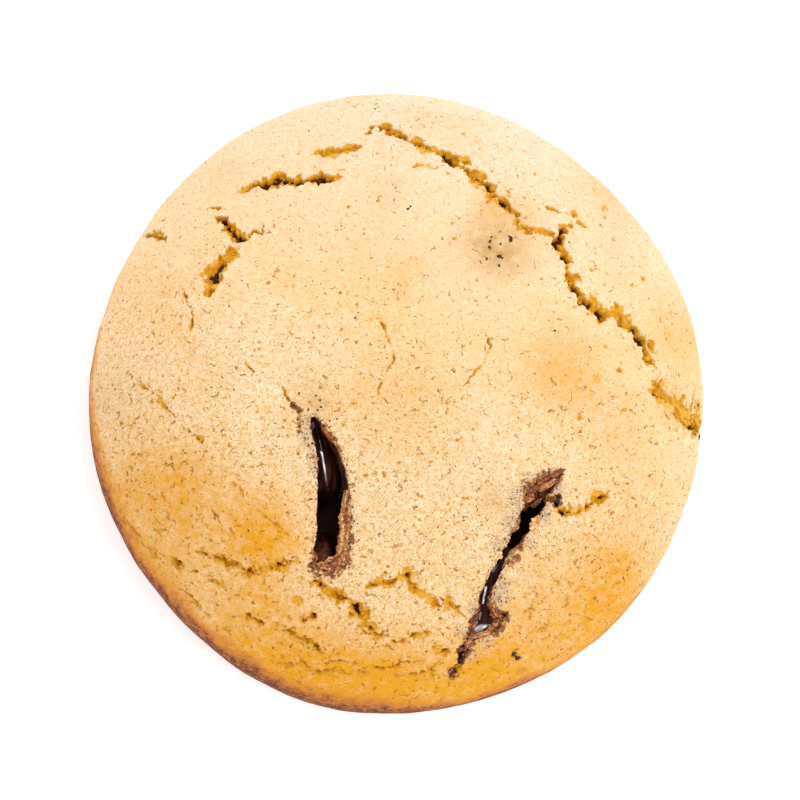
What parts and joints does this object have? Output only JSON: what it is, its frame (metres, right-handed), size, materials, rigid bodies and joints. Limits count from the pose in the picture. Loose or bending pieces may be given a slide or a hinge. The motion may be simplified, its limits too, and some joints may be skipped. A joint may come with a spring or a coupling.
{
  "type": "chocolate filled cookie",
  "caption": "Thick round soft cookie with a pale golden cracked crust and a dark chocolate filling that shows through open splits.",
  "frame": {"origin": "middle of the flat underside, on the surface that the cookie rests on", "axes": "+Z up, through the thickness; +Y is up in the picture and +X is right"},
  "size_m": [0.0806, 0.0821, 0.0239],
  "materials": {
    "dough": "baked cookie dough, pale golden, browned at the foot, dry and matt with fine cracks",
    "filling": "soft melted dark chocolate, glossy"
  },
  "bodies": {
    "root": {"dough": "dough", "filling": "filling"}
  },
  "joints": []
}
